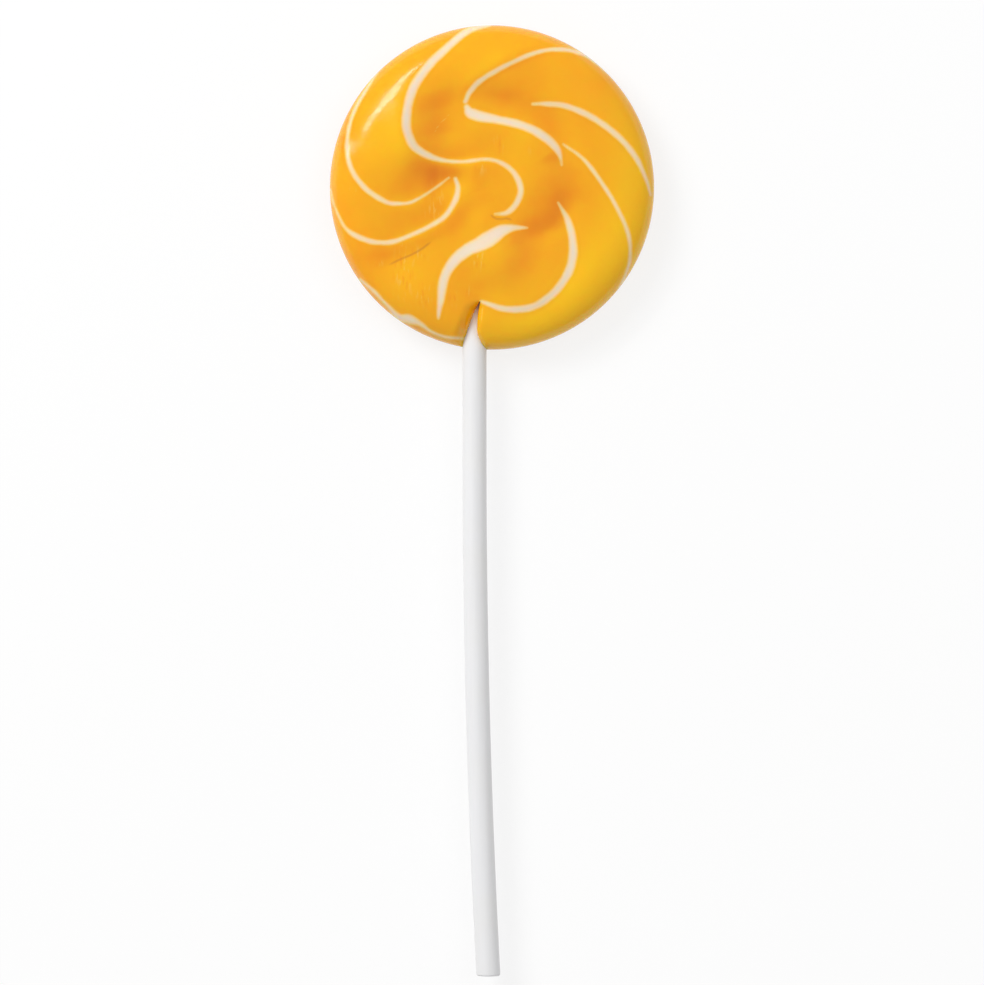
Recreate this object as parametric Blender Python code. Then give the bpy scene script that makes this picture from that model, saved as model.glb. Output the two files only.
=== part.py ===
"""A swirl lollipop lying on its back: twisted boiled sugar, pressed flat, on a slightly bowed stick.

Metres, +Z up. The origin is the centre of the disc's flat back, +Z comes out of the swirled face,
and the stick runs along -Y. The relief of the face is written in millimetres, as it was measured.
"""

import math

import bmesh
import bpy
import numpy as np

MM = 0.001

# The disc
DISC_RADIUS = 32.5 * MM
FACE_HEIGHT = 11.3 * MM  # the pressed face, before its relief
RIM_WIDTH = 8.5 * MM  # how far in the face starts to round over
RIM_DROP = 5.2 * MM  # from the face down to the widest part
RIM_SHARPNESS = 2.4
BACK_ROUNDING = 3.6 * MM  # how far the flat back is in from the widest part

# The stick
STICK_DIAMETER = 4.8 * MM
STICK_LENGTH = 150.0 * MM
STICK_INSIDE = 24.6 * MM  # the length held in the disc
STICK_X = -3.5 * MM
STICK_HEIGHT = 6.0 * MM
STICK_END_BEVEL = 0.35 * MM
BOW = 2.8 * MM  # how far the free end bends aside
BOW_START = 50.0 * MM  # measured from the disc's centre
BOW_POWER = 2.1
GAP = 0.3 * MM  # between the stick and the sugar around it

# The open notch above the stick, between the rope's cut end and the lobe beside it
NOTCH_OUTLINE = [
    (-2.6, -23.1), (-4.2, -26.5), (-5.8, -31.2), (-6.5, -35.5),
    (-0.3, -35.5), (-1.45, -32.5), (-2.9, -29.4), (-2.9, -26.0),
]
NOTCH_TOP = 20.0 * MM

# Mesh fineness
SECTORS = 88
FACE_RINGS = 30
BACK_RINGS = 5
STICK_SIDES = 20
STICK_STATIONS = 26

# The twisted rope's seams, each from one end to the other: x, y and the width of its white stripe, in mm.
# Then step, how much higher the left side of the seam stands, and swell, how much the seam itself does.
SEAMS = {
    "long_wave": {
        "path": [
            (-0.6, 32.5, 0.8), (-5.0, 31.0, 1.4), (-9.9, 26.8, 1.6), (-13.4, 23.1, 1.8),
            (-15.8, 19.3, 1.8), (-16.9, 15.1, 1.8), (-17.0, 11.4, 1.8), (-15.6, 8.0, 1.7),
            (-12.8, 6.1, 1.3), (-9.6, 5.1, 0.8), (-5.6, 4.9, 0.65), (-0.8, 5.35, 0.7),
            (2.6, 4.2, 0.9), (4.8, 2.0, 1.1), (5.7, -0.8, 1.2), (4.9, -3.4, 1.15),
            (3.0, -5.3, 1.0), (0.6, -5.6, 0.4),
        ],
        "step": [0.0, 0.0, -0.1, -0.5, -0.5, 0.1, 0.2],
        "swell": [0.0, -0.1, 0.4, 0.5, 0.1, 0.0, 0.0],
    },
    "left_outer": {
        "path": [
            (-23.0, 22.9, 0.4), (-27.4, 15.4, 0.7), (-28.9, 9.4, 0.8), (-28.2, 3.8, 0.9),
            (-25.4, -0.3, 1.0), (-21.3, -3.1, 0.9), (-18.5, -3.5, 0.7), (-15.8, -3.1, 0.6),
            (-12.4, -1.1, 0.4), (-8.6, 1.7, 0.25),
        ],
        "step": [0.0, -0.3, -0.2, -0.1],
        "swell": [0.0, -0.3, 0.1, 0.1],
    },
    "left_inner": {
        "path": [
            (-32.3, -0.4, 0.3), (-31.6, -3.6, 0.4), (-29.6, -7.8, 0.6), (-27.4, -9.7, 1.0),
            (-24.2, -11.0, 1.0), (-20.4, -11.2, 0.9), (-16.9, -10.1, 0.8), (-12.2, -7.9, 0.9),
            (-9.3, -5.9, 1.0), (-7.4, -2.9, 1.1), (-6.8, -0.4, 1.0), (-7.3, 1.5, 0.6),
        ],
        "step": [0.0, 0.0, -0.3, -0.2],
        "swell": [0.0, 0.0, 0.1, 0.0],
    },
    "broad": {
        "path": [
            (7.0, -8.3, 0.15), (5.6, -8.3, 0.8), (3.8, -8.4, 1.5), (1.8, -9.0, 2.5),
            (-0.5, -10.5, 3.2), (-2.7, -11.7, 2.9), (-4.8, -12.7, 2.5), (-6.9, -14.3, 2.3),
            (-8.6, -16.4, 2.0), (-9.6, -18.6, 1.9), (-10.0, -20.9, 1.7), (-10.3, -23.2, 1.3),
            (-10.6, -25.2, 0.8), (-10.7, -26.3, 0.4),
        ],
        "step": [0.0, 0.2, 0.1, 0.0],
        "swell": [0.2, 0.3, 0.1, 0.0],
    },
    "top": {
        "path": [
            (23.1, 23.1, 0.4), (18.6, 26.4, 0.8), (13.6, 27.4, 0.9), (8.6, 26.6, 0.8),
            (2.6, 23.9, 0.9), (-2.0, 21.2, 1.0), (-4.4, 18.8, 1.0), (-5.3, 16.9, 0.8),
        ],
        "step": [0.0, -0.1, -0.3, -0.2],
        "swell": [0.0, 0.0, 0.3, 0.2],
    },
    "tongue": {
        "path": [
            (-5.0, 15.7, 1.1), (-4.4, 14.7, 2.1), (-3.1, 14.1, 2.2), (-1.4, 13.7, 2.0),
            (1.3, 13.2, 1.7), (4.0, 12.6, 1.7), (6.8, 11.8, 1.7), (9.5, 10.4, 1.8),
            (11.7, 8.8, 1.7), (13.1, 7.1, 1.3), (13.7, 5.5, 0.6), (13.9, 4.2, 0.3),
        ],
        "step": [0.0, -0.3, -0.3, -0.3],
        "swell": [0.2, 0.3, 0.2, 0.1],
    },
    "right_upper": {
        "path": [
            (8.1, 16.4, 0.4), (10.9, 16.4, 0.9), (14.6, 16.0, 1.1), (19.6, 13.9, 1.2),
            (24.6, 10.4, 1.2), (28.4, 6.2, 1.1), (30.7, 1.7, 0.8), (31.7, -1.6, 0.4),
        ],
        "step": [0.1, 0.2, 0.3, 0.1],
        "swell": [0.1, 0.1, 0.1, 0.0],
    },
    "right_lower": {
        "path": [
            (14.2, 8.4, 0.3), (18.4, 5.2, 0.7), (22.2, 0.2, 0.8), (25.2, -4.8, 0.8),
            (27.2, -9.6, 0.8), (27.6, -14.0, 0.7), (26.6, -18.0, 0.6), (24.0, -21.8, 0.4),
            (20.4, -25.3, 0.25),
        ],
        "step": [0.1, 0.1, 0.0, 0.0],
        "swell": [0.0, 0.1, 0.1, 0.1],
    },
    "bottom": {
        "path": [
            (13.2, -3.3, 0.3), (15.2, -7.0, 1.2), (16.2, -12.0, 1.7), (15.6, -16.2, 1.7),
            (13.6, -19.8, 1.6), (10.9, -22.5, 1.5), (8.0, -24.1, 1.4), (4.4, -24.6, 1.4),
            (1.6, -24.3, 1.2), (-0.4, -23.6, 0.9), (-2.1, -23.0, 0.5),
        ],
        "step": [0.1, 0.1, -0.2, -0.3, 0.0],
        "swell": [-0.2, -0.6, -0.5, -0.4, -0.1],
    },
    "rim": {
        "path": [
            (-26.4, -18.5, 0.5), (-23.5, -21.0, 0.7), (-21.2, -23.4, 0.6), (-18.7, -25.9, 1.1),
            (-16.6, -26.4, 1.8), (-14.3, -27.4, 0.9), (-12.2, -28.9, 0.5), (-9.7, -29.9, 0.5),
            (-8.0, -30.2, 0.5), (-5.8, -30.3, 0.5),
        ],
        "step": [0.0, 0.0],
        "swell": [0.0, 0.0],
    },
}
SEAM_REACH = 3.4
SWELL_REACH = 3.2

# Valleys between the coils: the path, how deep and how wide
VALLEYS = [
    ([(-11.5, 20.0), (-9.8, 15.0), (-9.0, 10.0), (-9.5, 6.5)], 0.75, 3.8),
    ([(-14.0, 1.0), (-10.0, 0.6), (-6.5, 2.0), (-3.0, 2.5)], 0.8, 3.2),
    (
        [(-6.5, 18.0), (-1.0, 17.6), (5.0, 16.2), (10.0, 13.5), (13.5, 10.0), (15.8, 6.0), (16.3, 2.5)],
        0.8, 2.7,
    ),
    ([(16.3, 1.0), (15.2, -3.5), (12.5, -7.8), (8.5, -9.5), (4.5, -8.0)], 0.7, 2.7),
    ([(-28.5, -13.8), (-22.4, -14.6), (-15.0, -12.6), (-9.0, -9.0), (-5.0, -6.6)], 0.22, 2.2),
    ([(-0.6, -17.5), (-1.2, -21.0), (-2.6, -24.0), (-3.4, -28.0)], 0.3, 3.2),
]

# Rounded rises and hollows: centre x, y, height and reach
MOUNDS = [
    (-17.5, 12.5, 1.05, 6.5),
    (-18.0, 5.0, 0.9, 6.0),
    (-22.5, 3.0, 0.3, 6.0),
    (-9.0, 22.0, 0.5, 6.0),
    (0.0, 22.0, 0.5, 6.0),
    (7.5, 7.5, 0.6, 5.0),
    (10.0, 1.5, 0.5, 4.5),
    (5.0, -1.0, 0.3, 5.0),
    (23.0, -4.0, -0.4, 8.0),
    (-5.0, -6.0, -0.5, 4.5),
    (-1.8, -6.6, 0.35, 2.2),
    (1.5, -15.0, 0.9, 4.2),
    (10.0, -14.0, -0.4, 5.0),
    (-13.0, -21.0, 0.65, 5.0),
    (-21.5, -16.5, -0.5, 4.5),
    (-9.5, -27.0, 0.3, 4.0),
    (-11.6, 2.4, -0.5, 4.0),
]
SOFTNESS = 1.0  # how softly a point's nearest place on a path is chosen

# The lobe left of the notch thins out onto the stick along this line, down to this height above the back
LIP_LINE = [(-2.7, -23.0), (-3.3, -24.2), (-4.2, -26.5), (-5.0, -28.7), (-5.8, -31.2), (-6.5, -34.5)]
LIP_HEIGHT = 9.1
LIP_REACH = 3.6
CUT_END_X = -2.96
CUT_END_TOP = -23.0


def smooth(share):
    share = np.clip(share, 0.0, 1.0)
    return share * share * (3.0 - 2.0 * share)


def spline(points, steps=8):
    """A Catmull-Rom curve through the points, of any number of columns."""
    ends = np.asarray(points, float)
    ends = np.vstack([2 * ends[0] - ends[1], ends, 2 * ends[-1] - ends[-2]])
    curve = []
    for a, b, c, d in zip(ends, ends[1:], ends[2:], ends[3:]):
        for step in range(steps):
            t = step / steps
            bend = 2 * a - 5 * b + 4 * c - d
            turn = 3 * b - a - 3 * c + d
            curve.append(0.5 * (2 * b + (c - a) * t + bend * t**2 + turn * t**3))
    curve.append(ends[-2])
    return np.array(curve)


def along(curve, x, y):
    """For each point: its distance from the curve, how far left of it, and the share of length there."""
    way = np.gradient(curve[:, :2], axis=0)
    way /= np.hypot(*way.T)[:, None]
    lengths = np.concatenate([[0.0], np.cumsum(np.hypot(*np.diff(curve[:, :2], axis=0).T))])
    off_x = x[:, None] - curve[:, 0]
    off_y = y[:, None] - curve[:, 1]
    squared = off_x**2 + off_y**2
    weight = np.exp((squared.min(axis=1, keepdims=True) - squared) / SOFTNESS**2)
    weight /= weight.sum(axis=1, keepdims=True)
    left = (weight * (way[:, 0] * off_y - way[:, 1] * off_x)).sum(axis=1)
    return np.sqrt((weight * squared).sum(axis=1)), left, weight @ lengths / lengths[-1]


def seam_relief(seam, x, y):
    distance, left, share = along(spline(seam["path"], steps=6), x, y)
    fade = smooth(share / 0.15) * smooth((1.0 - share) / 0.15)
    step = np.interp(share, np.linspace(0.0, 1.0, len(seam["step"])), seam["step"])
    swell = np.interp(share, np.linspace(0.0, 1.0, len(seam["swell"])), seam["swell"])
    rise = step * np.tanh(left) * np.exp(-((distance / SEAM_REACH) ** 2))
    return fade * (rise + swell * np.exp(-((distance / SWELL_REACH) ** 2)))


def relief(x, y):
    """The height that the swirls add to the face, in mm, at x and y in mm."""
    height = np.zeros(len(x))
    for seam in SEAMS.values():
        height += seam_relief(seam, x, y)
    for path, depth, reach in VALLEYS:
        distance, _, share = along(spline(path), x, y)
        ends = smooth(share / 0.35) * smooth((1.0 - share) / 0.35)
        height -= depth * (0.1 + 0.9 * ends) * np.exp(-((distance / reach) ** 2))
    for centre_x, centre_y, rise, reach in MOUNDS:
        height += rise * np.exp(-((x - centre_x) ** 2 + (y - centre_y) ** 2) / reach**2)
    return height


def lip(x, y, height):
    """The height in mm, brought down to the stick on the notch's left; the cut end on its right stays."""
    distance, _, _ = along(spline(LIP_LINE), x, y)
    cut_end = smooth((x - CUT_END_X + 0.8) / 1.4) * smooth((CUT_END_TOP - y) / 1.6)
    share = np.exp(-((distance / LIP_REACH) ** 2)) * (1.0 - cut_end)
    return height - share * np.maximum(height - LIP_HEIGHT, 0.0)


def face_height(x, y):
    """The height of the swirled face above the back, for arrays of x and y, all in metres."""
    radius = np.hypot(x, y)
    share = np.clip((radius - (DISC_RADIUS - RIM_WIDTH)) / RIM_WIDTH, 0.0, 1.0)
    drop = RIM_DROP * (1.0 - np.sqrt(1.0 - share**RIM_SHARPNESS))
    inside = 1.0 - (radius / DISC_RADIUS) ** 8
    height = (FACE_HEIGHT - drop) / MM + inside * relief(x / MM, y / MM)
    return lip(x / MM, y / MM, height) * MM


def stick_axis(y):
    """x of the stick's axis at y: straight out of the disc, then a gentle bow."""
    beyond = max(0.0, (-y - BOW_START) / (STICK_LENGTH - STICK_INSIDE + DISC_RADIUS - BOW_START))
    return STICK_X + BOW * beyond**BOW_POWER


def clear_scene():
    for thing in list(bpy.data.objects):
        bpy.data.objects.remove(thing, do_unlink=True)


def principled(name, colour, roughness, subsurface=0.0):
    material = bpy.data.materials.new(name)
    material.use_nodes = True
    shader = material.node_tree.nodes["Principled BSDF"]
    shader.inputs["Base Color"].default_value = (*colour, 1.0)
    shader.inputs["Roughness"].default_value = roughness
    shader.inputs["Metallic"].default_value = 0.0
    shader.inputs["Subsurface Weight"].default_value = subsurface
    return material


def new_object(name, mesh_builder, material=None):
    mesh = bpy.data.meshes.new(name)
    shape = bmesh.new()
    mesh_builder(shape)
    bmesh.ops.recalc_face_normals(shape, faces=shape.faces)
    shape.to_mesh(mesh)
    shape.free()
    made = bpy.data.objects.new(name, mesh)
    bpy.context.scene.collection.objects.link(made)
    if material:
        mesh.materials.append(material)
    return made


def ring_radii():
    """Radii of the face's rings: even over the middle, closer together as the rim rounds over."""
    turns = np.arange(1, FACE_RINGS + 1) / FACE_RINGS
    return DISC_RADIUS * np.sin(turns * math.pi / 2) ** 0.82


def candy_shape(shape):
    angles = 2 * math.pi * np.arange(SECTORS) / SECTORS
    centre = shape.verts.new((0.0, 0.0, float(face_height(np.zeros(1), np.zeros(1))[0])))
    rings = []
    for radius in ring_radii():
        x = radius * np.cos(angles)
        y = radius * np.sin(angles)
        z = face_height(x, y)
        rings.append([shape.verts.new((float(a), float(b), float(c))) for a, b, c in zip(x, y, z)])
    widest = FACE_HEIGHT - RIM_DROP
    for step in range(1, BACK_RINGS + 1):
        turn = math.pi / 2 * step / BACK_RINGS
        radius = DISC_RADIUS - BACK_ROUNDING * (1.0 - math.cos(turn))
        z = widest * (1.0 - math.sin(turn))
        rings.append([shape.verts.new((radius * math.cos(a), radius * math.sin(a), z)) for a in angles])
    for i in range(SECTORS):
        shape.faces.new((centre, rings[0][i], rings[0][(i + 1) % SECTORS]))
    for inner, outer in zip(rings, rings[1:]):
        for i in range(SECTORS):
            after = (i + 1) % SECTORS
            shape.faces.new((inner[i], outer[i], outer[after], inner[after]))
    shape.faces.new(rings[-1])


def tube_shape(shape, stations, sides):
    """A closed tube through stations of (x, y, z, radius), each ring square to Y."""
    turns = [(math.cos(2 * math.pi * i / sides), math.sin(2 * math.pi * i / sides)) for i in range(sides)]
    rings = []
    for x, y, z, radius in stations:
        rings.append([shape.verts.new((x + radius * c, y, z + radius * s)) for c, s in turns])
    for near, far in zip(rings, rings[1:]):
        for i in range(sides):
            after = (i + 1) % sides
            shape.faces.new((near[i], near[after], far[after], far[i]))
    shape.faces.new(rings[0])
    shape.faces.new(rings[-1])


def stick_stations():
    top = -DISC_RADIUS + STICK_INSIDE
    radius = STICK_DIAMETER / 2
    places = [top, top - STICK_END_BEVEL]
    places += list(np.linspace(top - 4 * MM, top - STICK_LENGTH + 4 * MM, STICK_STATIONS))
    places += [top - STICK_LENGTH + STICK_END_BEVEL, top - STICK_LENGTH]
    radii = [radius - STICK_END_BEVEL] + [radius] * (len(places) - 2) + [radius - STICK_END_BEVEL]
    return [(stick_axis(y), y, STICK_HEIGHT, r) for y, r in zip(places, radii)]


def socket_shape(shape):
    radius = STICK_DIAMETER / 2 + GAP
    inner = -DISC_RADIUS + STICK_INSIDE + GAP
    ends = (inner, -DISC_RADIUS - 4 * MM)
    tube_shape(shape, [(STICK_X, y, STICK_HEIGHT, radius) for y in ends], STICK_SIDES)


def notch_shape(shape):
    low = [shape.verts.new((x * MM, y * MM, STICK_HEIGHT)) for x, y in NOTCH_OUTLINE]
    high = [shape.verts.new((x * MM, y * MM, NOTCH_TOP)) for x, y in NOTCH_OUTLINE]
    shape.faces.new(low)
    shape.faces.new(high)
    for i in range(len(low)):
        after = (i + 1) % len(low)
        shape.faces.new((low[i], low[after], high[after], high[i]))


def cut(target, cutter):
    cutter.hide_render = True
    cutter.display_type = "WIRE"
    modifier = target.modifiers.new(cutter.name, "BOOLEAN")
    modifier.operation = "DIFFERENCE"
    modifier.solver = "EXACT"
    modifier.object = cutter


def build():
    clear_scene()
    sugar = principled("orange_sugar", (0.95, 0.41, 0.02), 0.12, 0.2)
    plastic = principled("white_plastic", (0.82, 0.81, 0.8), 0.4)
    candy = new_object("candy", candy_shape, sugar)
    cut(candy, new_object("socket_cutter", socket_shape))
    cut(candy, new_object("notch_cutter", notch_shape))
    stick = new_object("stick", lambda shape: tube_shape(shape, stick_stations(), STICK_SIDES), plastic)
    for made in (candy, stick):
        made.data.shade_smooth()
        made.data.set_sharp_from_angle(angle=math.radians(50))


build()
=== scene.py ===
"""The looks of the swirl lollipop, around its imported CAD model: glossy sugar on a satin stick."""

import math

import bmesh
import bpy
import numpy as np
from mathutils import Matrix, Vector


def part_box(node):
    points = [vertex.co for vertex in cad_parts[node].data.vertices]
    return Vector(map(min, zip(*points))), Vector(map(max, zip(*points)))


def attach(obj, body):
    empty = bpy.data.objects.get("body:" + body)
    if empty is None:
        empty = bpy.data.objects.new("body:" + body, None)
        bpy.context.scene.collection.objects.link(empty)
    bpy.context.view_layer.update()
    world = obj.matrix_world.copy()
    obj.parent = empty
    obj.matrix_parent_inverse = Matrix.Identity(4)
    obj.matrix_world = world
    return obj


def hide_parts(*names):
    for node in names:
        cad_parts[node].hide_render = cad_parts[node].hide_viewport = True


MM = 0.001

# The disc, as in the CAD model
FACE_HEIGHT = 11.3 * MM
RELIEF_SHARE = 0.985  # a hair lower, so that the finer mesh stays inside it
RIM_WIDTH = 8.5 * MM
RIM_DROP = 5.2 * MM
RIM_SHARPNESS = 2.4
BACK_ROUNDING = 3.6 * MM

# The stick, as in the CAD model
STICK_X = -3.5 * MM
STICK_END_ROUNDING = 0.35 * MM
BOW = 2.8 * MM
BOW_START = 50.0 * MM
BOW_POWER = 2.1
SOCKET_PAST = 4.0 * MM  # how far the socket's cut runs out of the disc
SOCKET_GAP = 0.02 * MM  # the sugar is set onto the stick

# The open notch above the stick, in mm: the lobe's thin lip on its left, the rope's cut end on its right
LIP_LINE = [(-2.7, -23.0), (-3.3, -24.2), (-4.2, -26.5), (-5.0, -28.7), (-5.8, -31.2), (-6.5, -34.5)]
LIP_START = -22.6
LIP_RUN = 2.2
LIP_ROUNDING = 2.6
UNDER_STICK = 0.4  # how far the sugar's surface dips below the stick's in the notch
CUT_EDGE = [
    (-2.3, -23.0), (-2.75, -25.0), (-2.95, -27.0), (-2.95, -29.2),
    (-2.4, -30.6), (-1.45, -32.5), (-0.6, -34.6),
]
CUT_ROUNDING = 1.1
NOTCH_TOP = 20.0 * MM
MERGE_DISTANCE = 0.001 * MM
NOTCH_SINK = 0.17 * MM  # below the stick's middle, so that the two cuts share no plane

# Fine lines on the face, in mm: creases where coils meet, darkened in colour as painted shade, and pale
# lines: a hairline scratch and a painted highlight along the rope's cut end
CREASES = [
    [
        (-22.4, -16.8), (-20.7, -15.8), (-18.5, -14.7), (-16.3, -13.8),
        (-14.1, -12.6), (-12.2, -11.2), (-10.2, -10.3),
    ],
    [(-1.0, -4.9), (0.3, -6.2), (1.4, -6.6), (3.0, -6.5), (5.0, -7.1)],
]
CREASE_DEPTH = 0.08
CREASE_REACH = 0.4
HAIRLINE_AND_HIGHLIGHT_PATHS = [
    # A pale hairline scratch
    [(-11.9, 9.4), (-10.8, 11.9), (-9.1, 13.7), (-7.7, 15.3)],
    # A painted highlight along the rope's cut end, at the notch
    [(-1.9, -23.9), (-2.0, -25.6), (-2.25, -27.6)],
]
HAIRLINE_AND_HIGHLIGHT_WIDTH = 0.22

# Patches of handling marks, whose strokes carry painted glints and painted shade: centre x, y, reach
# across, reach along, strength
MARKS = [
    (-17.6, -17.0, 1.6, 4.2, 1.0),
    (-13.4, -21.6, 1.6, 2.0, 0.9),
    (-14.8, -13.6, 1.6, 1.2, 0.7),
    (-11.2, -4.0, 1.8, 3.4, 0.6),
    (-2.6, -14.6, 1.3, 1.9, 0.8),
    (-7.6, -22.7, 0.9, 1.2, 0.8),
    (-4.7, -21.0, 0.8, 1.0, 0.6),
    (1.5, 8.2, 1.0, 1.6, 0.6),
    (7.9, 7.4, 0.6, 1.0, 0.4),
    (-2.2, 3.6, 1.0, 1.2, 0.6),
    (-27.7, -1.0, 0.8, 0.6, 0.6),
    (-22.6, -15.3, 1.5, 0.5, 0.6),
]

# Mesh fineness
SECTORS = 560
FACE_RINGS = 146
BACK_RINGS = 14
STICK_SIDES = 64
STICK_STATIONS = 110

# Camera and light
PHOTO_PIXEL = 0.2 * MM  # what one pixel of the picture spans on the object
PICTURE = (984, 985)
DISC_IN_PICTURE = (492.0, 187.0)  # where the middle of the disc falls
LENS = 200.0
SENSOR = 36.0
SHARP_HEIGHT = 8.0 * MM  # the height at which the picture's scale holds
KEY_AZIMUTH = 142.0  # degrees from +X: the light comes from the upper left
WORLD_STRENGTH = 0.42
# Name, azimuth, elevation, distance, size, power, and whether it is seen in reflections
LIGHTS = [
    ("key", KEY_AZIMUTH, 46.0, 1.6, (0.8, 0.8), 13.6, False),
    ("fill", KEY_AZIMUTH - 120.0, 60.0, 1.6, (1.0, 1.0), 4.6, False),
    ("streak", KEY_AZIMUTH - 3.0, 43.0, 1.0, (0.52, 0.07), 1.6, True),
]

# Colours, linear
# Sugar colours for the painted shading: deep and amber are painted shade, yellow is painted light, orange
# is the sugar in plain light
SUGAR_IN_PAINTED_SHADE = (0.88, 0.245, 0.006)
SUGAR_IN_PAINTED_HALF_SHADE = (0.92, 0.33, 0.005)
SUGAR_ORANGE = (0.94, 0.42, 0.005)
SUGAR_IN_PAINTED_LIGHT = (0.95, 0.53, 0.004)
STRIPE_EDGE = (0.95, 0.58, 0.12)
STRIPE_PEACH = (0.93, 0.69, 0.40)
STRIPE_CREAM = (0.86, 0.71, 0.52)
STRIPE_PALE = (0.88, 0.74, 0.60)
# Pale scratched sugar, also used for painted glints on the marks and a painted highlight along the cut end
PALE_SCRATCH_AND_PAINTED_GLINT = (0.97, 0.60, 0.09)
# Painted shade in the creases
CREASE_PAINTED_SHADE = (0.62, 0.20, 0.02)
STICK_WHITE = (0.84, 0.84, 0.85)
STICK_SHADE = (0.81, 0.81, 0.82)
STICK_WARM = (0.82, 0.81, 0.78)
FLOOR_GLOW = 0.8
STRIPE_TAPER = 0.15  # how fast the stripes narrow on their way round to the back, in mm per mm
# Painted light and shade in the sugar's colour: paler by slope towards the light and by height, plus a
# painted glow at the far rim
PAINTED_SHADE_BY_SLOPE = 0.9  # for a slope that faces the light
PAINTED_SHADE_BY_RELIEF = 0.12  # per mm
PAINTED_GLOW_BY_RIM = 0.45
PAINTED_SHADE_SPAN = 0.4

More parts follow.
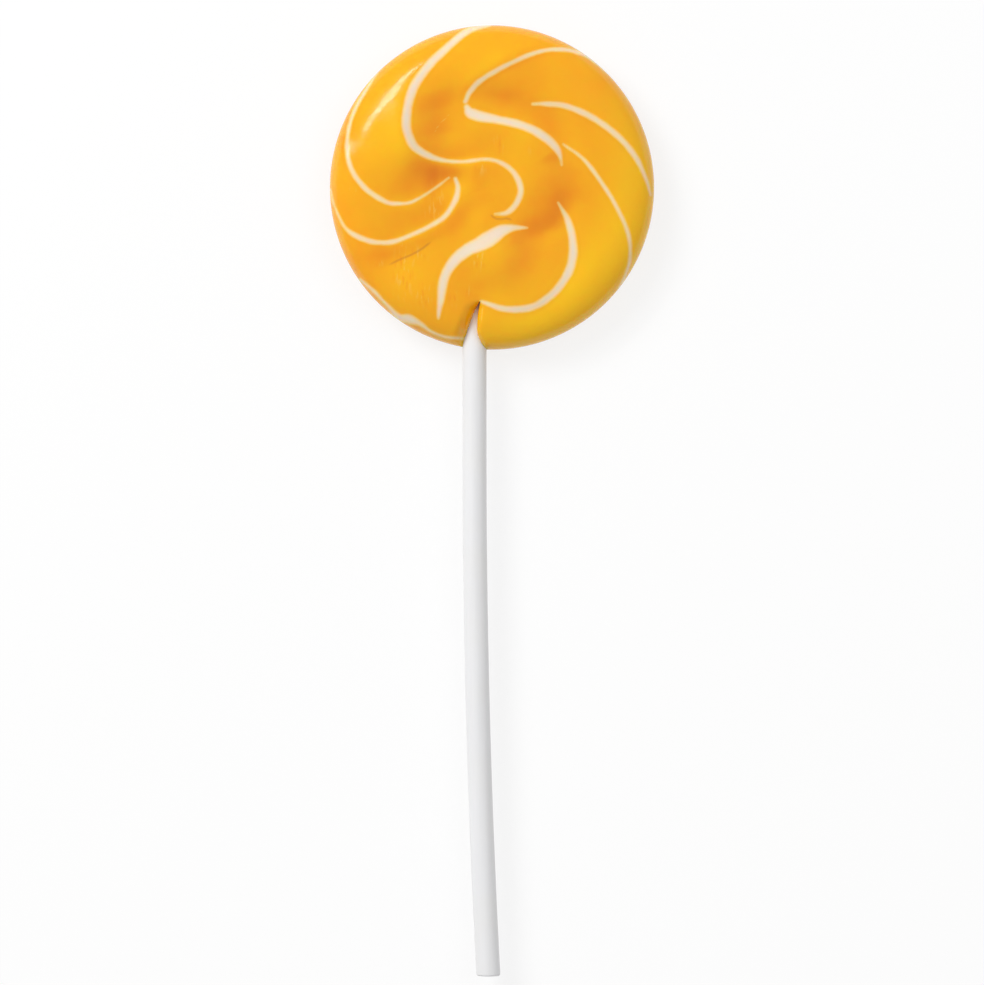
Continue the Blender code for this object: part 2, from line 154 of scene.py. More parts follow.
# The twisted rope's seams, each from one end to the other: x, y and its white stripe's width, in mm.
# Then step, how much higher the left side of the seam stands, and swell, how much the seam itself does.
SEAMS = {
    "long_wave": {
        "path": [
            (-0.6, 32.5, 0.8), (-5.0, 31.0, 1.4), (-9.9, 26.8, 1.6), (-13.4, 23.1, 1.8),
            (-15.8, 19.3, 1.8), (-16.9, 15.1, 1.8), (-17.0, 11.4, 1.8), (-15.6, 8.0, 1.7),
            (-12.8, 6.1, 1.3), (-9.6, 5.1, 0.8), (-5.6, 4.9, 0.65), (-0.8, 5.35, 0.7),
            (2.6, 4.2, 0.9), (4.8, 2.0, 1.1), (5.7, -0.8, 1.2), (4.9, -3.4, 1.15),
            (3.0, -5.3, 1.0), (0.6, -5.6, 0.4),
        ],
        "step": [0.0, 0.0, -0.1, -0.5, -0.5, 0.1, 0.2],
        "swell": [0.0, -0.1, 0.4, 0.5, 0.1, 0.0, 0.0],
    },
    "left_outer": {
        "path": [
            (-23.0, 22.9, 0.4), (-27.4, 15.4, 0.7), (-28.9, 9.4, 0.8), (-28.2, 3.8, 0.9),
            (-25.4, -0.3, 1.0), (-21.3, -3.1, 0.9), (-18.5, -3.5, 0.7), (-15.8, -3.1, 0.6),
            (-12.4, -1.1, 0.4), (-8.6, 1.7, 0.25),
        ],
        "step": [0.0, -0.3, -0.2, -0.1],
        "swell": [0.0, -0.3, 0.1, 0.1],
    },
    "left_inner": {
        "path": [
            (-32.3, -0.4, 0.3), (-31.6, -3.6, 0.4), (-29.6, -7.8, 0.6), (-27.4, -9.7, 1.0),
            (-24.2, -11.0, 1.0), (-20.4, -11.2, 0.9), (-16.9, -10.1, 0.8), (-12.2, -7.9, 0.9),
            (-9.3, -5.9, 1.0), (-7.4, -2.9, 1.1), (-6.8, -0.4, 1.0), (-7.3, 1.5, 0.6),
        ],
        "step": [0.0, 0.0, -0.3, -0.2],
        "swell": [0.0, 0.0, 0.1, 0.0],
    },
    "broad": {
        "path": [
            (7.0, -8.3, 0.15), (5.6, -8.3, 0.8), (3.8, -8.4, 1.5), (1.8, -9.0, 2.5),
            (-0.5, -10.5, 3.2), (-2.7, -11.7, 2.9), (-4.8, -12.7, 2.5), (-6.9, -14.3, 2.3),
            (-8.6, -16.4, 2.0), (-9.6, -18.6, 1.9), (-10.0, -20.9, 1.7), (-10.3, -23.2, 1.3),
            (-10.6, -25.2, 0.8), (-10.7, -26.3, 0.4),
        ],
        "step": [0.0, 0.2, 0.1, 0.0],
        "swell": [0.2, 0.3, 0.1, 0.0],
    },
    "top": {
        "path": [
            (23.1, 23.1, 0.4), (18.6, 26.4, 0.8), (13.6, 27.4, 0.9), (8.6, 26.6, 0.8),
            (2.6, 23.9, 0.9), (-2.0, 21.2, 1.0), (-4.4, 18.8, 1.0), (-5.3, 16.9, 0.8),
        ],
        "step": [0.0, -0.1, -0.3, -0.2],
        "swell": [0.0, 0.0, 0.3, 0.2],
    },
    "tongue": {
        "path": [
            (-5.0, 15.7, 1.1), (-4.4, 14.7, 2.1), (-3.1, 14.1, 2.2), (-1.4, 13.7, 2.0),
            (1.3, 13.2, 1.7), (4.0, 12.6, 1.7), (6.8, 11.8, 1.7), (9.5, 10.4, 1.8),
            (11.7, 8.8, 1.7), (13.1, 7.1, 1.3), (13.7, 5.5, 0.6), (13.9, 4.2, 0.3),
        ],
        "step": [0.0, -0.3, -0.3, -0.3],
        "swell": [0.2, 0.3, 0.2, 0.1],
    },
    "right_upper": {
        "path": [
            (8.1, 16.4, 0.4), (10.9, 16.4, 0.9), (14.6, 16.0, 1.1), (19.6, 13.9, 1.2),
            (24.6, 10.4, 1.2), (28.4, 6.2, 1.1), (30.7, 1.7, 0.8), (31.7, -1.6, 0.4),
        ],
        "step": [0.1, 0.2, 0.3, 0.1],
        "swell": [0.1, 0.1, 0.1, 0.0],
    },
    "right_lower": {
        "path": [
            (14.2, 8.4, 0.3), (18.4, 5.2, 0.7), (22.2, 0.2, 0.8), (25.2, -4.8, 0.8),
            (27.2, -9.6, 0.8), (27.6, -14.0, 0.7), (26.7, -17.6, 0.55), (25.4, -20.2, 0.3),
        ],
        "step": [0.1, 0.1, 0.0, 0.0],
        "swell": [0.0, 0.1, 0.1, 0.1],
    },
    "bottom": {
        "path": [
            (13.2, -3.3, 0.3), (15.2, -7.0, 1.2), (16.2, -12.0, 1.7), (15.6, -16.2, 1.7),
            (13.6, -19.8, 1.6), (10.9, -22.5, 1.5), (8.0, -24.1, 1.4), (4.4, -24.6, 1.4),
            (1.6, -24.3, 1.2), (-0.4, -23.6, 0.9), (-2.1, -23.0, 0.5),
        ],
        "step": [0.1, 0.1, -0.2, -0.3, 0.0],
        "swell": [-0.2, -0.6, -0.5, -0.4, -0.1],
    },
    "rim": {
        "path": [
            (-26.4, -18.5, 0.5), (-23.5, -21.0, 0.7), (-21.2, -23.4, 0.6), (-18.7, -25.9, 1.1),
            (-16.6, -26.4, 1.8), (-14.3, -27.4, 0.9), (-12.2, -28.9, 0.5), (-9.7, -29.9, 0.5),
            (-8.0, -30.2, 0.5), (-5.8, -30.3, 0.5),
        ],
        "step": [0.0, 0.0],
        "swell": [0.0, 0.0],
    },
}
SEAM_REACH = 3.4
SWELL_REACH = 3.2

# Valleys between the coils: the path, how deep and how wide
VALLEYS = [
    ([(-11.5, 20.0), (-9.8, 15.0), (-9.0, 10.0), (-9.5, 6.5)], 0.75, 3.8),
    ([(-14.0, 1.0), (-10.0, 0.6), (-6.5, 2.0), (-3.0, 2.5)], 0.8, 3.2),
    (
        [(-6.5, 18.0), (-1.0, 17.6), (5.0, 16.2), (10.0, 13.5), (13.5, 10.0), (15.8, 6.0), (16.3, 2.5)],
        0.8, 2.7,
    ),
    ([(16.3, 1.0), (15.2, -3.5), (12.5, -7.8), (8.5, -9.5), (4.5, -8.0)], 0.7, 2.7),
    ([(-28.5, -13.8), (-22.4, -14.6), (-15.0, -12.6), (-9.0, -9.0), (-5.0, -6.6)], 0.22, 2.2),
    ([(-0.6, -17.5), (-1.2, -21.0), (-2.6, -24.0), (-3.4, -28.0)], 0.3, 3.2),
]

# Rounded rises and hollows: centre x, y, height and reach
MOUNDS = [
    (-17.5, 12.5, 1.05, 6.5),
    (-18.0, 5.0, 0.9, 6.0),
    (-22.5, 3.0, 0.3, 6.0),
    (-9.0, 22.0, 0.5, 6.0),
    (0.0, 22.0, 0.5, 6.0),
    (7.5, 7.5, 0.6, 5.0),
    (10.0, 1.5, 0.5, 4.5),
    (5.0, -1.0, 0.3, 5.0),
    (23.0, -4.0, -0.4, 8.0),
    (-5.0, -6.0, -0.5, 4.5),
    (-1.8, -6.6, 0.35, 2.2),
    (1.5, -15.0, 0.9, 4.2),
    (10.0, -14.0, -0.4, 5.0),
    (-13.0, -21.0, 0.65, 5.0),
    (-21.5, -16.5, -0.5, 4.5),
    (-9.5, -27.0, 0.3, 4.0),
    (-11.6, 2.4, -0.5, 4.0),
]
SOFTNESS = 1.0  # how softly a point's nearest place on a path is chosen


def smooth(share):
    share = np.clip(share, 0.0, 1.0)
    return share * share * (3.0 - 2.0 * share)


def spline(points, steps=8):
    """A Catmull-Rom curve through the points, of any number of columns."""
    ends = np.asarray(points, float)
    ends = np.vstack([2 * ends[0] - ends[1], ends, 2 * ends[-1] - ends[-2]])
    curve = []
    for a, b, c, d in zip(ends, ends[1:], ends[2:], ends[3:]):
        for step in range(steps):
            t = step / steps
            bend = 2 * a - 5 * b + 4 * c - d
            turn = 3 * b - a - 3 * c + d
            curve.append(0.5 * (2 * b + (c - a) * t + bend * t**2 + turn * t**3))
    curve.append(ends[-2])
    return np.array(curve)


def along(curve, x, y):
    """For each point: its distance from the curve, how far left of it, and the share of length there."""
    way = np.gradient(curve[:, :2], axis=0)
    way /= np.hypot(*way.T)[:, None]
    lengths = np.concatenate([[0.0], np.cumsum(np.hypot(*np.diff(curve[:, :2], axis=0).T))])
    off_x = x[:, None] - curve[:, 0]
    off_y = y[:, None] - curve[:, 1]
    squared = off_x**2 + off_y**2
    weight = np.exp((squared.min(axis=1, keepdims=True) - squared) / SOFTNESS**2)
    weight /= weight.sum(axis=1, keepdims=True)
    left = (weight * (way[:, 0] * off_y - way[:, 1] * off_x)).sum(axis=1)
    return np.sqrt((weight * squared).sum(axis=1)), left, weight @ lengths / lengths[-1]


def seam_relief(seam, x, y):
    distance, left, share = along(spline(seam["path"], steps=6), x, y)
    fade = smooth(share / 0.15) * smooth((1.0 - share) / 0.15)
    step = np.interp(share, np.linspace(0.0, 1.0, len(seam["step"])), seam["step"])
    swell = np.interp(share, np.linspace(0.0, 1.0, len(seam["swell"])), seam["swell"])
    rise = step * np.tanh(left) * np.exp(-((distance / SEAM_REACH) ** 2))
    return fade * (rise + swell * np.exp(-((distance / SWELL_REACH) ** 2)))


def relief(x, y):
    """The height that the swirls add to the face, in mm, at x and y in mm."""
    height = np.zeros(len(x))
    for seam in SEAMS.values():
        height += seam_relief(seam, x, y)
    for path, depth, reach in VALLEYS:
        distance, _, share = along(spline(path), x, y)
        ends = smooth(share / 0.35) * smooth((1.0 - share) / 0.35)
        height -= depth * (0.1 + 0.9 * ends) * np.exp(-((distance / reach) ** 2))
    for centre_x, centre_y, rise, reach in MOUNDS:
        height += rise * np.exp(-((x - centre_x) ** 2 + (y - centre_y) ** 2) / reach**2)
    return height



def rim_drop(radius, disc_radius):
    share = np.clip((radius - (disc_radius - RIM_WIDTH)) / RIM_WIDTH, 0.0, 1.0)
    return RIM_DROP * (1.0 - np.sqrt(1.0 - share**RIM_SHARPNESS))


def nearest(curve, x, y):
    """For each point: the distance to the curve, positive on its left, and the share of length there."""
    lengths = np.concatenate([[0.0], np.cumsum(np.hypot(*np.diff(curve[:, :2], axis=0).T))])
    closest = np.full(len(x), np.inf)
    signed = np.zeros(len(x))
    share = np.zeros(len(x))
    for i, (start, end) in enumerate(zip(curve[:-1, :2], curve[1:, :2])):
        way = end - start
        t = np.clip(((x - start[0]) * way[0] + (y - start[1]) * way[1]) / (way @ way), 0.0, 1.0)
        off_x = x - start[0] - t * way[0]
        off_y = y - start[1] - t * way[1]
        distance = np.hypot(off_x, off_y)
        closer = distance < closest
        side = np.where(way[0] * off_y - way[1] * off_x < 0.0, -1.0, 1.0)
        closest = np.where(closer, distance, closest)
        signed = np.where(closer, side * distance, signed)
        share = np.where(closer, (lengths[i] + t * (lengths[i + 1] - lengths[i])) / lengths[-1], share)
    return signed, share


def rounded(distance, reach):
    """From 0 at an edge to 1 further in than the reach, as a quarter circle rises."""
    return np.sqrt(1.0 - (1.0 - np.clip(distance / reach, 0.0, 1.0)) ** 2)


def at_notch(x, y, height, stick_height, stick_radius):
    """The height in mm: the lobe rounds over onto the stick, and the rope's cut end rounds over too."""
    from_lip, _ = nearest(spline(LIP_LINE), x, y)
    from_cut, share = nearest(spline(CUT_EDGE), x, y)
    across = np.clip(x - STICK_X / MM, -stick_radius, stick_radius)
    on_stick = stick_height + np.sqrt(stick_radius**2 - across**2)
    beside = smooth((LIP_START - y) / LIP_RUN)
    lobe = on_stick + (height - on_stick) * rounded(-from_lip, LIP_ROUNDING)
    lobe = np.where(from_lip < 0.0, lobe, on_stick - UNDER_STICK * smooth(from_lip / 0.3))
    lobe = height + (lobe - height) * beside
    cut_end = height - CUT_ROUNDING * (1.0 - rounded(from_cut, CUT_ROUNDING)) * smooth(share / 0.1)
    return np.where(from_cut > -0.12, cut_end, np.minimum(lobe, height))


def creases(x, y):
    """How deep in the creases each point lies, 0 to 1."""
    depth = np.zeros(len(x))
    for path in CREASES:
        signed, share = nearest(spline(path), x, y)
        ends = smooth(share / 0.25) * smooth((1.0 - share) / 0.25)
        depth = np.maximum(depth, ends * np.exp(-((signed / CREASE_REACH) ** 2)))
    return depth


def face_height(x, y, disc_radius, stick_height, stick_radius):
    radius = np.hypot(x, y)
    inside = 1.0 - np.minimum(radius / disc_radius, 1.0) ** 8
    height = (FACE_HEIGHT - rim_drop(radius, disc_radius)) / MM
    swirls = RELIEF_SHARE * relief(x / MM, y / MM) - CREASE_DEPTH * creases(x / MM, y / MM)
    height = height + inside * swirls
    return at_notch(x / MM, y / MM, height, stick_height / MM, stick_radius / MM) * MM


def stripe_depth(x, y):
    """How far inside a white stripe each point lies, in mm; negative outside."""
    best = np.full(len(x), -4.0)
    for seam in SEAMS.values():
        curve = spline(seam["path"], steps=10)
        signed, share = nearest(curve, x, y)
        lengths = np.concatenate([[0.0], np.cumsum(np.hypot(*np.diff(curve[:, :2], axis=0).T))])
        half_width = np.interp(share, lengths / lengths[-1], curve[:, 2]) / 2
        best = np.maximum(best, half_width - np.abs(signed))
    return best


def hairline_and_highlight_depth(x, y):
    best = np.full(len(x), -4.0)
    for path in HAIRLINE_AND_HIGHLIGHT_PATHS:
        signed, share = nearest(spline(path), x, y)
        ends = smooth(share / 0.3) * smooth((1.0 - share) / 0.3)
        best = np.maximum(best, ends * HAIRLINE_AND_HIGHLIGHT_WIDTH / 2 - np.abs(signed))
    return best


def handling(x, y):
    """How strongly the face is marked by handling, 0 to 1; this also sets where glints and shade are
    painted on the marks.
    """
    total = np.zeros(len(x))
    for centre_x, centre_y, across, along_y, strength in MARKS:
        total += strength * np.exp(-(((x - centre_x) / across) ** 2) - ((y - centre_y) / along_y) ** 2)
    return np.minimum(total, 1.0)


def tone(x, y, disc_radius):
    """Painted light and shade in the sugar's colour, 0 to 1: painted paler where a swirl faces the light,
    painted shade in hollows and behind rises.
    """
    here = relief(x, y)
    slope_x = (relief(x + PAINTED_SHADE_SPAN, y) - here) / PAINTED_SHADE_SPAN
    slope_y = (relief(x, y + PAINTED_SHADE_SPAN) - here) / PAINTED_SHADE_SPAN
    facing = math.radians(KEY_AZIMUTH)
    towards = -(slope_x * math.cos(facing) + slope_y * math.sin(facing))
    # Painted light: a paler glow painted at the rim away from the light, as if light that comes in by the
    # near rim leaves by the far one
    behind = -(x * math.cos(facing) + y * math.sin(facing)) / disc_radius
    outer = smooth((np.hypot(x, y) / disc_radius - 0.45) / 0.4)
    glow = PAINTED_GLOW_BY_RIM * smooth((behind - 0.1) / 0.7) * outer
    return np.clip(0.5 + PAINTED_SHADE_BY_SLOPE * towards + PAINTED_SHADE_BY_RELIEF * here + glow, 0.0, 1.0)


def mesh_object(name, vertices, faces):
    mesh = bpy.data.meshes.new(name)
    mesh.from_pydata(vertices, [], faces)
    shape = bmesh.new()
    shape.from_mesh(mesh)
    bmesh.ops.recalc_face_normals(shape, faces=shape.faces)
    shape.to_mesh(mesh)
    shape.free()
    made = bpy.data.objects.new(name, mesh)
    bpy.context.scene.collection.objects.link(made)
    return made


def ring_faces(ring_count, per_ring, first=0):
    """Quads between rings of points that follow one another."""
    i = np.arange(per_ring)
    after = (i + 1) % per_ring
    faces = []
    for ring in range(ring_count - 1):
        a = first + ring * per_ring
        b = a + per_ring
        faces.append(np.stack([a + i, b + i, b + after, a + after], axis=1))
    return np.concatenate(faces).tolist()


def fan(centre, start, per_ring, outward):
    faces = []
    for i in range(per_ring):
        pair = (start + i, start + (i + 1) % per_ring)
        faces.append((centre, *pair) if outward else (centre, *reversed(pair)))
    return faces


def candy_mesh(disc_radius, face):
    angles = 2 * math.pi * np.arange(SECTORS) / SECTORS
    turns = np.arange(1, FACE_RINGS + 1) / FACE_RINGS
    radii = disc_radius * np.sin(turns * math.pi / 2) ** 0.9
    x = np.concatenate([[0.0], np.outer(radii, np.cos(angles)).ravel()])
    y = np.concatenate([[0.0], np.outer(radii, np.sin(angles)).ravel()])
    points = [np.stack([x, y, face(x, y)], axis=1)]
    widest = FACE_HEIGHT - RIM_DROP
    for step in range(1, BACK_RINGS + 1):
        turn = math.pi / 2 * step / BACK_RINGS
        radius = disc_radius - BACK_ROUNDING * (1.0 - math.cos(turn))
        z = np.full(SECTORS, widest * (1.0 - math.sin(turn)))
        points.append(np.stack([radius * np.cos(angles), radius * np.sin(angles), z], axis=1))
    inner = disc_radius - BACK_ROUNDING
    for share in (0.75, 0.5, 0.25):
        ring = [inner * share * np.cos(angles), inner * share * np.sin(angles), np.zeros(SECTORS)]
        points.append(np.stack(ring, axis=1))
    points.append(np.zeros((1, 3)))
    vertices = np.concatenate(points)
    rings = FACE_RINGS + BACK_RINGS + 3
    faces = fan(0, 1, SECTORS, True) + ring_faces(rings, SECTORS, 1)
    faces += fan(len(vertices) - 1, 1 + (rings - 1) * SECTORS, SECTORS, False)
    return mesh_object("candy_swirl", vertices.tolist(), faces)


def tube_mesh(name, stations, sides):
    """A closed tube through stations of (x, y, z, radius), each ring square to Y."""
    turns = 2 * math.pi * np.arange(sides) / sides
    vertices = [(stations[0][0], stations[0][1], stations[0][2])]
    for x, y, z, radius in stations:
        vertices += [(x + radius * math.cos(t), y, z + radius * math.sin(t)) for t in turns]
    vertices.append((stations[-1][0], stations[-1][1], stations[-1][2]))
    faces = fan(0, 1, sides, True) + ring_faces(len(stations), sides, 1)
    faces += fan(len(vertices) - 1, 1 + (len(stations) - 1) * sides, sides, False)
    return mesh_object(name, vertices, faces)


def notch_cutter(height):
    lip_side = [(x + 0.2, y) for x, y in spline(LIP_LINE, steps=4)]
    cut_side = [(x, y) for x, y in spline(CUT_EDGE, steps=6)]
    outline = lip_side + list(reversed(cut_side))
    count = len(outline)
    low = [(x * MM, y * MM, height) for x, y in outline]
    high = [(x * MM, y * MM, NOTCH_TOP) for x, y in outline]
    sides = [(i, (i + 1) % count, count + (i + 1) % count, count + i) for i in range(count)]
    caps = [tuple(reversed(range(count))), tuple(range(count, 2 * count))]
    return mesh_object("notch_cutter", low + high, caps + sides)


def cut(target, cutter):
    modifier = target.modifiers.new(cutter.name, "BOOLEAN")
    modifier.operation = "DIFFERENCE"
    modifier.solver = "EXACT"
    modifier.object = cutter
    graph = bpy.context.evaluated_depsgraph_get()
    result = bpy.data.meshes.new_from_object(target.evaluated_get(graph))
    target.modifiers.clear()
    shape = bmesh.new()
    shape.from_mesh(result)
    bmesh.ops.remove_doubles(shape, verts=shape.verts, dist=MERGE_DISTANCE)
    shape.to_mesh(result)
    shape.free()
    target.data = result
    bpy.data.objects.remove(cutter, do_unlink=True)


def point_values(obj, name, values):
    layer = obj.data.attributes.new(name, "FLOAT", "POINT")
    layer.data.foreach_set("value", np.asarray(values, np.float32))


def node(tree, kind, **settings):
    made = tree.nodes.new(kind)
    for key, value in settings.items():
        if key in made.inputs:
            made.inputs[key].default_value = value
        else:
            setattr(made, key, value)
    return made


def ramp(tree, source, stops):
    made = tree.nodes.new("ShaderNodeValToRGB")
    elements = made.color_ramp.elements
    while len(elements) > len(stops):
        elements.remove(elements[-1])
    while len(elements) < len(stops):
        elements.new(1.0)
    for element, (place, colour) in zip(elements, stops):
        element.position = place
        element.color = (*colour, 1.0)
    tree.links.new(source, made.inputs["Fac"])
    return made.outputs["Color"]


def map_range(tree, source, low, high, to_low=0.0, to_high=1.0, smooth_step=False):
    made = node(tree, "ShaderNodeMapRange", interpolation_type="SMOOTHSTEP" if smooth_step else "LINEAR")
    for key, value in (("From Min", low), ("From Max", high), ("To Min", to_low), ("To Max", to_high)):
        made.inputs[key].default_value = value
    tree.links.new(source, made.inputs["Value"])
    return made.outputs["Result"]


def math_node(tree, operation, first, second):
    made = tree.nodes.new("ShaderNodeMath")
    made.operation = operation
    for socket, value in zip(made.inputs, (first, second)):
        if isinstance(value, float):
            socket.default_value = value
        else:
            tree.links.new(value, socket)
    return made.outputs[0]


def mix_colour(tree, factor, first, second, blend="MIX"):
    made = tree.nodes.new("ShaderNodeMix")
    made.data_type = "RGBA"
    made.blend_type = blend
    for socket, value in ((made.inputs[0], factor), (made.inputs[6], first), (made.inputs[7], second)):
        if isinstance(value, float):
            socket.default_value = value
        elif isinstance(value, tuple):
            socket.default_value = (*value, 1.0)
        else:
            tree.links.new(value, socket)
    return made.outputs[2]


def object_noise(tree, scale, detail=2.0, stretch=(1.0, 1.0, 1.0)):
    coordinates = tree.nodes.new("ShaderNodeTexCoord")
    mapping = node(tree, "ShaderNodeMapping")
    mapping.inputs["Scale"].default_value = stretch
    tree.links.new(coordinates.outputs["Object"], mapping.inputs["Vector"])
    noise = tree.nodes.new("ShaderNodeTexNoise")
    noise.inputs["Scale"].default_value = scale
    noise.inputs["Detail"].default_value = detail
    tree.links.new(mapping.outputs["Vector"], noise.inputs["Vector"])
    return noise.outputs["Fac"]


def attribute(tree, name):
    return node(tree, "ShaderNodeAttribute", attribute_name=name).outputs["Fac"]


def new_material(name):
    material = bpy.data.materials.new(name)
    material.use_nodes = True
    return material, material.node_tree, material.node_tree.nodes["Principled BSDF"]


def sugar_material():
    material, tree, shader = new_material("orange_sugar")
    # Body colour: painted light and shade, from deep orange in painted shade to yellow in painted light,
    # with soft cloudy patches
    cloud = map_range(tree, object_noise(tree, 130.0, 3.0), 0.3, 0.7, -0.07, 0.07)
    painted_shade_and_cloud = math_node(tree, "ADD", attribute(tree, "tone"), cloud)
    stops = [(0.0, SUGAR_IN_PAINTED_SHADE), (0.27, SUGAR_IN_PAINTED_HALF_SHADE), (0.5, SUGAR_ORANGE), (1.0, SUGAR_IN_PAINTED_LIGHT)]
    body = ramp(tree, painted_shade_and_cloud, stops)
    # Handling marks: fine upright strokes of scratched sugar, the paler ones with painted glints and the
    # darker ones with painted shade
    strokes = object_noise(tree, 1700.0, 3.0, (1.0, 0.2, 1.0))
    marked = attribute(tree, "marks")
    pale = math_node(tree, "MULTIPLY", map_range(tree, strokes, 0.55, 0.65, 0.0, 0.8, True), marked)
    dark = math_node(tree, "MULTIPLY", map_range(tree, strokes, 0.45, 0.35, 0.0, 0.6, True), marked)
    body = mix_colour(tree, pale, body, PALE_SCRATCH_AND_PAINTED_GLINT)
    body = mix_colour(tree, dark, body, SUGAR_IN_PAINTED_SHADE)
    # Creases darkened as painted shade; a pale hairline scratch and a painted highlight along the cut
    # end's edge
    crease = map_range(tree, attribute(tree, "crease"), 0.45, 1.0, 0.0, 0.5, True)
    body = mix_colour(tree, crease, body, CREASE_PAINTED_SHADE)
    hairline_and_highlight = map_range(tree, attribute(tree, "hairline_and_highlight"), -0.06, 0.1, 0.0, 0.7, True)
    body = mix_colour(tree, hairline_and_highlight, body, PALE_SCRATCH_AND_PAINTED_GLINT)
    # Stripes: a soft yellow edge, then cream, with a slightly wandering outline
    wander = map_range(tree, object_noise(tree, 420.0, 2.0), 0.3, 0.7, -0.06, 0.06)
    depth = math_node(tree, "ADD", attribute(tree, "stripe"), wander)
    tint = map_range(tree, depth, -0.3, 0.06, 0.0, 1.0, True)
    core = map_range(tree, depth, -0.08, 0.34, 0.0, 1.0, True)
    colour = mix_colour(tree, tint, body, STRIPE_EDGE)
    milk = mix_colour(tree, object_noise(tree, 260.0, 2.0), STRIPE_CREAM, STRIPE_PALE)
    milk = mix_colour(tree, map_range(tree, depth, 0.25, 0.75, 0.0, 1.0, True), STRIPE_PEACH, milk)
    colour = mix_colour(tree, core, colour, milk)
    tree.links.new(colour, shader.inputs["Base Color"])
    gloss = map_range(tree, object_noise(tree, 700.0, 4.0), 0.3, 0.7, 0.1, 0.2)
    tree.links.new(gloss, shader.inputs["Roughness"])
    marks = tree.nodes.new("ShaderNodeBump")
    marks.inputs["Strength"].default_value = 0.5
    marks.inputs["Distance"].default_value = 0.12 * MM
    tree.links.new(math_node(tree, "MULTIPLY", strokes, marked), marks.inputs["Height"])
    ripple = tree.nodes.new("ShaderNodeBump")
    ripple.inputs["Strength"].default_value = 0.2
    ripple.inputs["Distance"].default_value = 0.12 * MM
    tree.links.new(object_noise(tree, 900.0, 3.0), ripple.inputs["Height"])
    tree.links.new(marks.outputs["Normal"], ripple.inputs["Normal"])
    tree.links.new(ripple.outputs["Normal"], shader.inputs["Normal"])
    shader.inputs["IOR"].default_value = 1.5
    shader.inputs["Subsurface Weight"].default_value = 0.55
    shader.inputs["Subsurface Radius"].default_value = (1.0, 0.3, 0.08)
    shader.inputs["Subsurface Scale"].default_value = 2.6 * MM
    return material


def stick_material():
    material, tree, shader = new_material("white_plastic")
    streaks = object_noise(tree, 900.0, 3.0, (1.0, 0.04, 1.0))
    patches = object_noise(tree, 90.0, 2.0)
    colour = mix_colour(tree, map_range(tree, streaks, 0.3, 0.7), STICK_WHITE, STICK_SHADE)
    colour = mix_colour(tree, map_range(tree, patches, 0.4, 0.7, 0.0, 0.35), colour, STICK_WARM)
    tree.links.new(colour, shader.inputs["Base Color"])
    gloss = map_range(tree, streaks, 0.3, 0.7, 0.42, 0.55)
    tree.links.new(gloss, shader.inputs["Roughness"])
    grain = tree.nodes.new("ShaderNodeBump")
    grain.inputs["Strength"].default_value = 0.15
    grain.inputs["Distance"].default_value = 0.05 * MM
    tree.links.new(streaks, grain.inputs["Height"])
    tree.links.new(grain.outputs["Normal"], shader.inputs["Normal"])
    return material


def floor_material():
    """A white floor that the camera and reflections see as plain white, except for a soft shadow."""
    material, tree, shader = new_material("white_floor")
    shader.inputs["Base Color"].default_value = (0.95, 0.95, 0.95, 1.0)
    shader.inputs["Roughness"].default_value = 0.9
    glow = node(tree, "ShaderNodeEmission")
    glow.inputs["Strength"].default_value = 1.0
    ray = tree.nodes.new("ShaderNodeLightPath").outputs
    seen = math_node(tree, "MAXIMUM", ray["Is Camera Ray"], ray["Is Glossy Ray"])
    seen = math_node(tree, "MAXIMUM", seen, ray["Is Transmission Ray"])
    share = math_node(tree, "MULTIPLY", seen, FLOOR_GLOW)
    mixed = tree.nodes.new("ShaderNodeMixShader")
    tree.links.new(share, mixed.inputs[0])
    tree.links.new(shader.outputs[0], mixed.inputs[1])
    tree.links.new(glow.outputs[0], mixed.inputs[2])
    tree.links.new(mixed.outputs[0], tree.nodes["Material Output"].inputs["Surface"])
    return material


def make_candy():
    low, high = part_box("candy")
    disc_radius = (high[0] - low[0]) / 2
    stick_low, stick_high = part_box("stick")
    axis_height = (stick_low[2] + stick_high[2]) / 2
    radius = (stick_high[2] - stick_low[2]) / 2

    def face(x, y):
        return face_height(x, y, disc_radius, axis_height, radius)

    candy = candy_mesh(disc_radius, face)
    ends = (stick_high[1] + SOCKET_GAP, -disc_radius - SOCKET_PAST)
    stations = [(STICK_X, y, axis_height, radius + SOCKET_GAP) for y in ends]
    cut(candy, notch_cutter(axis_height - NOTCH_SINK))
    cut(candy, tube_mesh("socket_cutter", stations, STICK_SIDES))
    places = np.empty(3 * len(candy.data.vertices), np.float32)
    candy.data.vertices.foreach_get("co", places)
    x, y, z = places.reshape(-1, 3).T.astype(float)
    tucked = STRIPE_TAPER * np.maximum(FACE_HEIGHT - RIM_DROP - z, 0.0) / MM
    point_values(candy, "stripe", stripe_depth(x / MM, y / MM) - tucked)
    point_values(candy, "tone", tone(x / MM, y / MM, disc_radius / MM))
    point_values(candy, "marks", handling(x / MM, y / MM))
    point_values(candy, "crease", creases(x / MM, y / MM))
    point_values(candy, "hairline_and_highlight", hairline_and_highlight_depth(x / MM, y / MM))
    candy.data.materials.clear()
    candy.data.materials.append(sugar_material())
    candy.data.shade_smooth()
    candy.data.set_sharp_from_angle(angle=math.radians(48))
    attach(candy, "root")
    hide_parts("candy")


def stick_axis(y, free_end):
    beyond = max(0.0, (-y - BOW_START) / (-free_end - BOW_START))
    return STICK_X + BOW * beyond**BOW_POWER


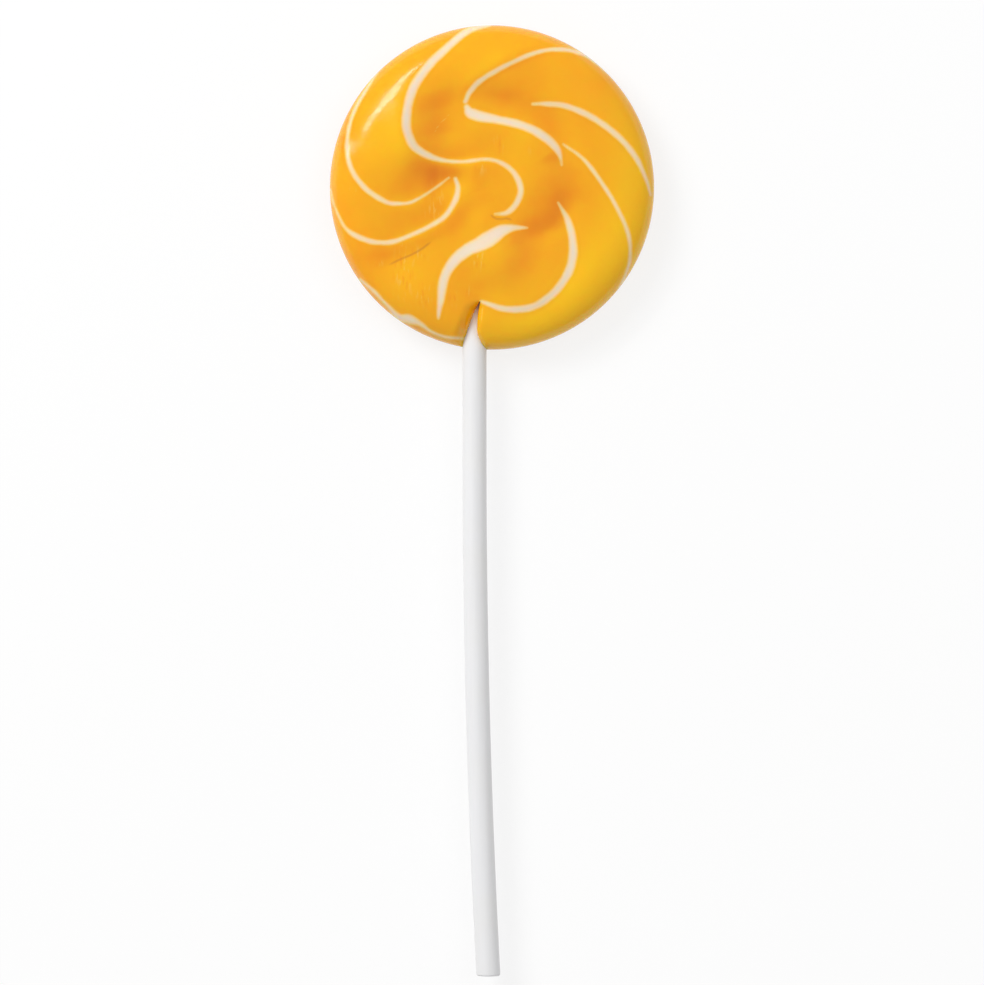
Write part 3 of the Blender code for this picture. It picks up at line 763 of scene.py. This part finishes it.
def make_stick():
    low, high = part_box("stick")
    radius = (high[2] - low[2]) / 2
    height = (high[2] + low[2]) / 2
    turns = [math.pi / 2 * i / 6 for i in range(7)]
    insets = [STICK_END_ROUNDING * (1 - math.sin(t)) for t in turns]
    end_radii = [radius - STICK_END_ROUNDING * (1 - math.cos(t)) for t in turns]
    rounding = list(zip(insets, end_radii))
    top_end = [(high[1] - inset, r) for inset, r in rounding]
    free_end = [(low[1] + inset, r) for inset, r in reversed(rounding)]
    middle = np.linspace(high[1] - 2 * MM, low[1] + 2 * MM, STICK_STATIONS)
    stations = list(reversed(top_end)) + [(y, radius) for y in middle] + list(reversed(free_end))
    stations = sorted(stations, key=lambda station: -station[0])
    path = [(stick_axis(y, low[1]), y, height, r) for y, r in stations]
    stick = tube_mesh("stick_round", path, STICK_SIDES)
    stick.data.materials.append(stick_material())
    stick.data.shade_smooth()
    stick.data.set_sharp_from_angle(angle=math.radians(48))
    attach(stick, "root")
    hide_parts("stick")


def make_floor():
    half = 1.5
    corners = [(-half, -half, 0.0), (half, -half, 0.0), (half, half, 0.0), (-half, half, 0.0)]
    floor = mesh_object("floor", corners, [(0, 1, 2, 3)])
    floor.data.materials.append(floor_material())


def aim(obj, target):
    direction = target - obj.location
    obj.rotation_euler = direction.to_track_quat("-Z", "Y").to_euler()


def make_light(name, azimuth, elevation, distance, size, power, glossy):
    """An area light above the disc; size is (across, along its azimuth)."""
    data = bpy.data.lights.new(name, "AREA")
    data.shape = "RECTANGLE"
    data.size, data.size_y = size
    data.energy = power
    lamp = bpy.data.objects.new(name, data)
    bpy.context.scene.collection.objects.link(lamp)
    turn, tilt = math.radians(azimuth), math.radians(elevation)
    flat = distance * math.cos(tilt)
    lamp.location = (flat * math.cos(turn), flat * math.sin(turn), distance * math.sin(tilt))
    aim(lamp, type(lamp.location)((0.0, 0.0, 0.0)))
    lamp.visible_glossy = glossy
    return lamp


def make_world(strength):
    world = bpy.data.worlds.new("soft_studio")
    bpy.context.scene.world = world
    world.use_nodes = True
    background = world.node_tree.nodes["Background"]
    background.inputs["Color"].default_value = (1.0, 1.0, 1.0, 1.0)
    background.inputs["Strength"].default_value = strength


def make_camera():
    """Looks straight down, so that the disc falls where it does in the picture."""
    data = bpy.data.cameras.new("camera")
    data.lens = LENS
    data.sensor_width = SENSOR
    camera = bpy.data.objects.new("camera", data)
    bpy.context.scene.collection.objects.link(camera)
    span = max(PICTURE) * PHOTO_PIXEL
    distance = span * LENS / SENSOR
    offset_x = (PICTURE[0] / 2 - DISC_IN_PICTURE[0]) * PHOTO_PIXEL
    offset_y = (DISC_IN_PICTURE[1] - PICTURE[1] / 2) * PHOTO_PIXEL
    camera.location = (offset_x, offset_y, SHARP_HEIGHT + distance)
    camera.rotation_euler = (0.0, 0.0, 0.0)
    data.clip_end = 10.0
    bpy.context.scene.camera = camera


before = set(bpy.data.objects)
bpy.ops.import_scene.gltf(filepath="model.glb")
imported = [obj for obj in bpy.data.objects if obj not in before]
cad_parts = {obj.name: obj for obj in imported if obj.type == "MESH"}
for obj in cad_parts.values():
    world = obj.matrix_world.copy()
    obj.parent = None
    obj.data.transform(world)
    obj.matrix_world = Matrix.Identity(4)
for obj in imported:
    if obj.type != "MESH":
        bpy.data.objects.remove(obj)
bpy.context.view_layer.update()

make_camera()
make_world(WORLD_STRENGTH)
for light in LIGHTS:
    make_light(*light)
make_floor()
make_candy()
make_stick()
bpy.context.scene.view_settings.view_transform = "Standard"
